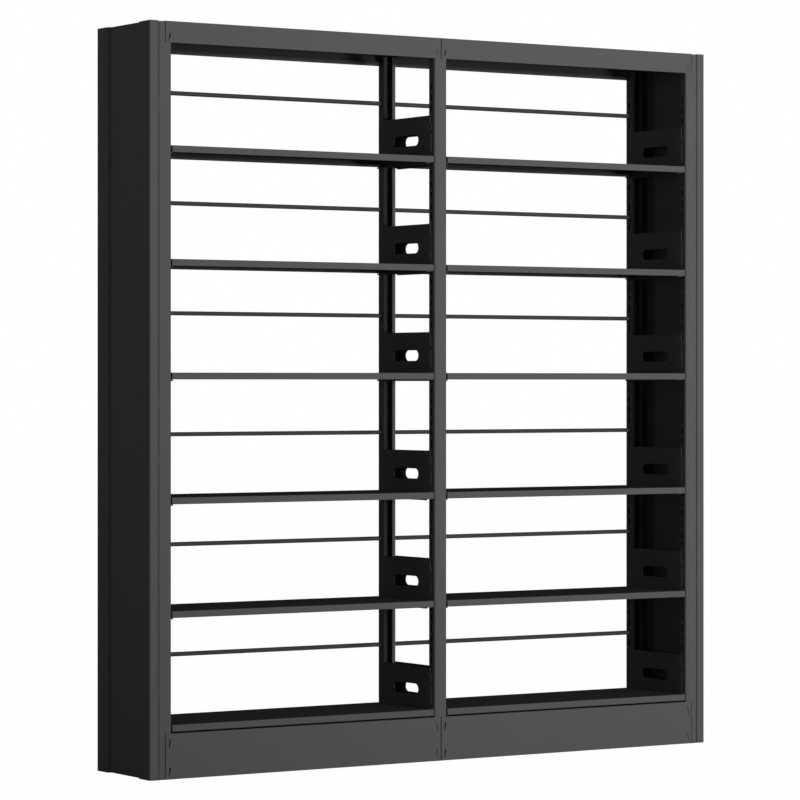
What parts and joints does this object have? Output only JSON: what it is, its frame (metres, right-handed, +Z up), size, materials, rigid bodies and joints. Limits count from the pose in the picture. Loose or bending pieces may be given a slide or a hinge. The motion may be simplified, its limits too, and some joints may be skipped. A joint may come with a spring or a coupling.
{
  "type": "library shelving",
  "caption": "Open-backed steel library shelving rack: folded tray shelves on hook-in brackets, slotted columns, stop rails, end panels, top covers and kick plates.",
  "frame": {"origin": "on the floor, at the centre of the rack's footprint", "axes": "+X along the shelves to the right as seen from the front, +Y from the front to the back, +Z up"},
  "size_m": [1.836, 0.296, 2],
  "materials": {
    "frame_paint": "satin dark grey powder coat",
    "shelf_paint": "satin dark grey powder coat",
    "panel_paint": "satin dark grey powder coat",
    "foot_plastic": "moulded black"
  },
  "bodies": {
    "rack": {"column_left_front": "frame_paint", "column_left_rear": "frame_paint", "column_middle_front": "frame_paint", "column_middle_rear": "frame_paint", "column_right_front": "frame_paint", "column_right_rear": "frame_paint", "foot_caps": "foot_plastic", "frame_tie_left_lower": "frame_paint", "frame_tie_left_upper": "frame_paint", "frame_tie_middle_lower": "frame_paint", "frame_tie_middle_upper": "frame_paint", "frame_tie_right_lower": "frame_paint", "frame_tie_right_upper": "frame_paint", "end_panel_left": "panel_paint", "end_panel_right": "panel_paint", "top_cover_left": "panel_paint", "kick_plate_left_front": "panel_paint", "kick_plate_left_rear": "panel_paint", "top_cover_right": "panel_paint", "kick_plate_right_front": "panel_paint", "kick_plate_right_rear": "panel_paint", "stop_rail_left_1": "shelf_paint", "stop_rail_left_2": "shelf_paint", "stop_rail_left_3": "shelf_paint", "stop_rail_left_4": "shelf_paint", "stop_rail_left_5": "shelf_paint", "stop_rail_left_6": "shelf_paint", "stop_rail_right_1": "shelf_paint", "stop_rail_right_2": "shelf_paint", "stop_rail_right_3": "shelf_paint", "stop_rail_right_4": "shelf_paint", "stop_rail_right_5": "shelf_paint", "stop_rail_right_6": "shelf_paint"},
    "brackets_left_1": {"bracket_pair_left_1": "shelf_paint"},
    "shelf_left_1": {"shelf_left_1": "shelf_paint"},
    "brackets_left_2": {"bracket_pair_left_2": "shelf_paint"},
    "shelf_left_2": {"shelf_left_2": "shelf_paint"},
    "brackets_left_3": {"bracket_pair_left_3": "shelf_paint"},
    "shelf_left_3": {"shelf_left_3": "shelf_paint"},
    "brackets_left_4": {"bracket_pair_left_4": "shelf_paint"},
    "shelf_left_4": {"shelf_left_4": "shelf_paint"},
    "brackets_left_5": {"bracket_pair_left_5": "shelf_paint"},
    "shelf_left_5": {"shelf_left_5": "shelf_paint"},
    "brackets_left_6": {"bracket_pair_left_6": "shelf_paint"},
    "shelf_left_6": {"shelf_left_6": "shelf_paint"},
    "brackets_right_1": {"bracket_pair_right_1": "shelf_paint"},
    "shelf_right_1": {"shelf_right_1": "shelf_paint"},
    "brackets_right_2": {"bracket_pair_right_2": "shelf_paint"},
    "shelf_right_2": {"shelf_right_2": "shelf_paint"},
    "brackets_right_3": {"bracket_pair_right_3": "shelf_paint"},
    "shelf_right_3": {"shelf_right_3": "shelf_paint"},
    "brackets_right_4": {"bracket_pair_right_4": "shelf_paint"},
    "shelf_right_4": {"shelf_right_4": "shelf_paint"},
    "brackets_right_5": {"bracket_pair_right_5": "shelf_paint"},
    "shelf_right_5": {"shelf_right_5": "shelf_paint"},
    "brackets_right_6": {"bracket_pair_right_6": "shelf_paint"},
    "shelf_right_6": {"shelf_right_6": "shelf_paint"}
  },
  "joints": [
    {"name": "bracket_unhook_left_1", "type": "slide", "parent": "rack", "child": "brackets_left_1", "axis": [0, 0, 1], "range_m": [0, 0.0082]},
    {"name": "shelf_lift_left_1", "type": "slide", "parent": "brackets_left_1", "child": "shelf_left_1", "axis": [0, 0, 1], "range_m": [0, 0.14]},
    {"name": "bracket_unhook_left_2", "type": "slide", "parent": "rack", "child": "brackets_left_2", "axis": [0, 0, 1], "range_m": [0, 0.0082]},
    {"name": "shelf_lift_left_2", "type": "slide", "parent": "brackets_left_2", "child": "shelf_left_2", "axis": [0, 0, 1], "range_m": [0, 0.14]},
    {"name": "bracket_unhook_left_3", "type": "slide", "parent": "rack", "child": "brackets_left_3", "axis": [0, 0, 1], "range_m": [0, 0.0082]},
    {"name": "shelf_lift_left_3", "type": "slide", "parent": "brackets_left_3", "child": "shelf_left_3", "axis": [0, 0, 1], "range_m": [0, 0.14]},
    {"name": "bracket_unhook_left_4", "type": "slide", "parent": "rack", "child": "brackets_left_4", "axis": [0, 0, 1], "range_m": [0, 0.0082]},
    {"name": "shelf_lift_left_4", "type": "slide", "parent": "brackets_left_4", "child": "shelf_left_4", "axis": [0, 0, 1], "range_m": [0, 0.14]},
    {"name": "bracket_unhook_left_5", "type": "slide", "parent": "rack", "child": "brackets_left_5", "axis": [0, 0, 1], "range_m": [0, 0.0082]},
    {"name": "shelf_lift_left_5", "type": "slide", "parent": "brackets_left_5", "child": "shelf_left_5", "axis": [0, 0, 1], "range_m": [0, 0.14]},
    {"name": "bracket_unhook_left_6", "type": "slide", "parent": "rack", "child": "brackets_left_6", "axis": [0, 0, 1], "range_m": [0, 0.0082]},
    {"name": "shelf_lift_left_6", "type": "slide", "parent": "brackets_left_6", "child": "shelf_left_6", "axis": [0, 0, 1], "range_m": [0, 0.14]},
    {"name": "bracket_unhook_right_1", "type": "slide", "parent": "rack", "child": "brackets_right_1", "axis": [0, 0, 1], "range_m": [0, 0.0082]},
    {"name": "shelf_lift_right_1", "type": "slide", "parent": "brackets_right_1", "child": "shelf_right_1", "axis": [0, 0, 1], "range_m": [0, 0.14]},
    {"name": "bracket_unhook_right_2", "type": "slide", "parent": "rack", "child": "brackets_right_2", "axis": [0, 0, 1], "range_m": [0, 0.0082]},
    {"name": "shelf_lift_right_2", "type": "slide", "parent": "brackets_right_2", "child": "shelf_right_2", "axis": [0, 0, 1], "range_m": [0, 0.14]},
    {"name": "bracket_unhook_right_3", "type": "slide", "parent": "rack", "child": "brackets_right_3", "axis": [0, 0, 1], "range_m": [0, 0.0082]},
    {"name": "shelf_lift_right_3", "type": "slide", "parent": "brackets_right_3", "child": "shelf_right_3", "axis": [0, 0, 1], "range_m": [0, 0.14]},
    {"name": "bracket_unhook_right_4", "type": "slide", "parent": "rack", "child": "brackets_right_4", "axis": [0, 0, 1], "range_m": [0, 0.0082]},
    {"name": "shelf_lift_right_4", "type": "slide", "parent": "brackets_right_4", "child": "shelf_right_4", "axis": [0, 0, 1], "range_m": [0, 0.14]},
    {"name": "bracket_unhook_right_5", "type": "slide", "parent": "rack", "child": "brackets_right_5", "axis": [0, 0, 1], "range_m": [0, 0.0082]},
    {"name": "shelf_lift_right_5", "type": "slide", "parent": "brackets_right_5", "child": "shelf_right_5", "axis": [0, 0, 1], "range_m": [0, 0.14]},
    {"name": "bracket_unhook_right_6", "type": "slide", "parent": "rack", "child": "brackets_right_6", "axis": [0, 0, 1], "range_m": [0, 0.0082]},
    {"name": "shelf_lift_right_6", "type": "slide", "parent": "brackets_right_6", "child": "shelf_right_6", "axis": [0, 0, 1], "range_m": [0, 0.14]}
  ]
}
